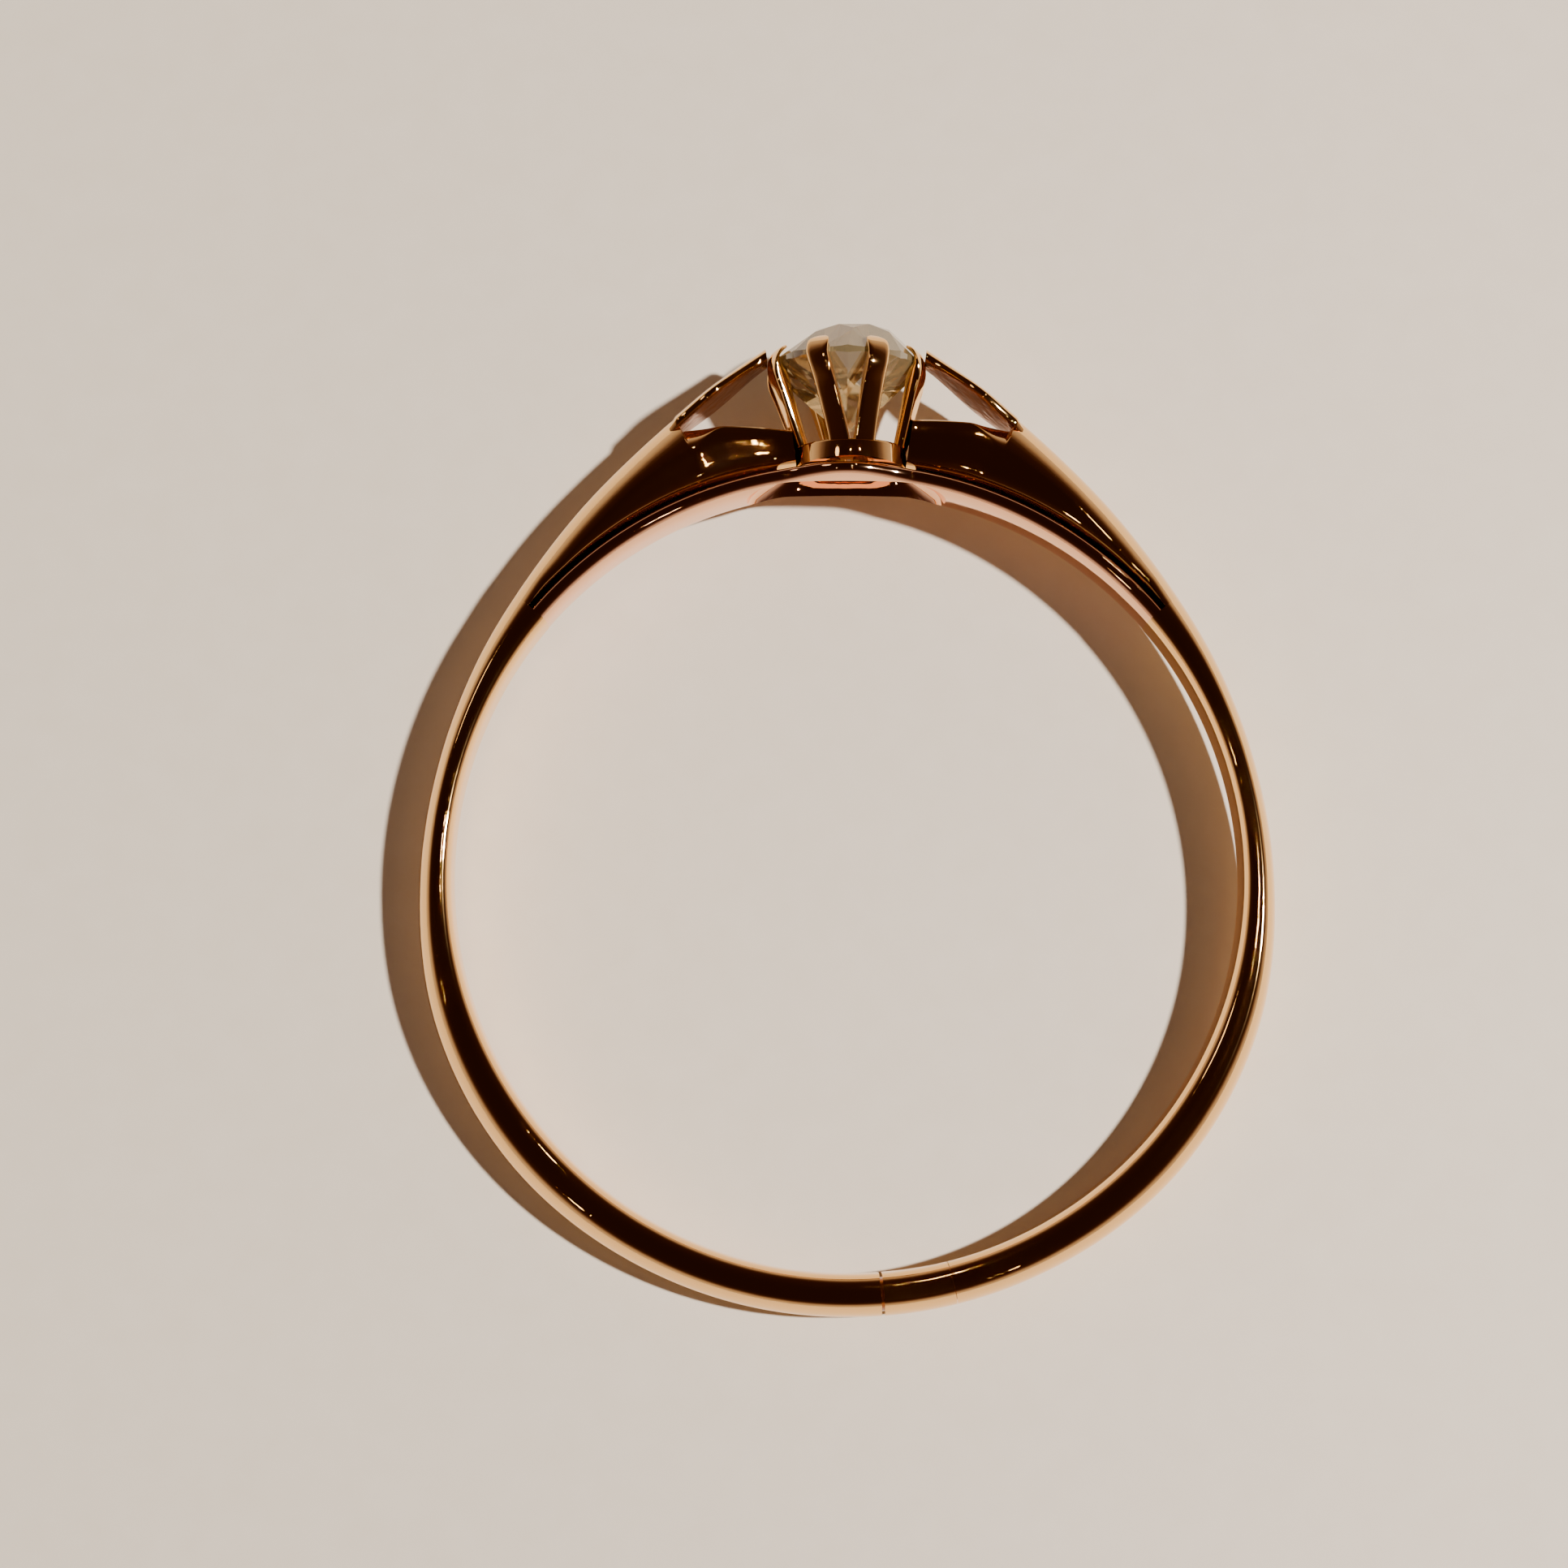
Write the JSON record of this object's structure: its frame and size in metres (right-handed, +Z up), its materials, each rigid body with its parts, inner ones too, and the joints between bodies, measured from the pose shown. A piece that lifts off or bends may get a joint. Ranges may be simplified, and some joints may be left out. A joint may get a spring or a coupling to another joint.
{
  "type": "solitaire engagement ring",
  "caption": "Gold solitaire ring with a D-section shank, split shoulders with open windows, a claw coronet and one old-cut brilliant, lying on its side.",
  "frame": {"origin": "on the tabletop under the middle of the ring's box, the ring lying on its side", "axes": "+Y from the back of the shank towards the stone, +X to the right with the side face up, +Z up from the tabletop, close to the finger axis"},
  "size_m": [0.0186, 0.0216, 0.0035],
  "materials": {
    "yellow_gold": "polished 18 carat yellow gold",
    "insert_gold": "18 carat yellow gold, filed and polished less brightly than the shank",
    "rose_gold": "polished gold of a slightly pinker colour",
    "diamond": "faceted clear stone"
  },
  "bodies": {
    "root": {"shank_left": "yellow_gold", "shank_right": "yellow_gold", "sizing_insert": "insert_gold", "finger_rail": "rose_gold", "lower_arm_left": "yellow_gold", "lower_arm_right": "yellow_gold", "shoulder_bridge_left": "yellow_gold", "shoulder_bridge_right": "yellow_gold", "coronet_base": "yellow_gold", "claw_1": "yellow_gold", "claw_2": "yellow_gold", "claw_3": "yellow_gold", "claw_4": "yellow_gold", "claw_5": "yellow_gold", "claw_6": "yellow_gold", "claw_7": "yellow_gold", "claw_8": "yellow_gold", "diamond": "diamond"}
  },
  "joints": []
}
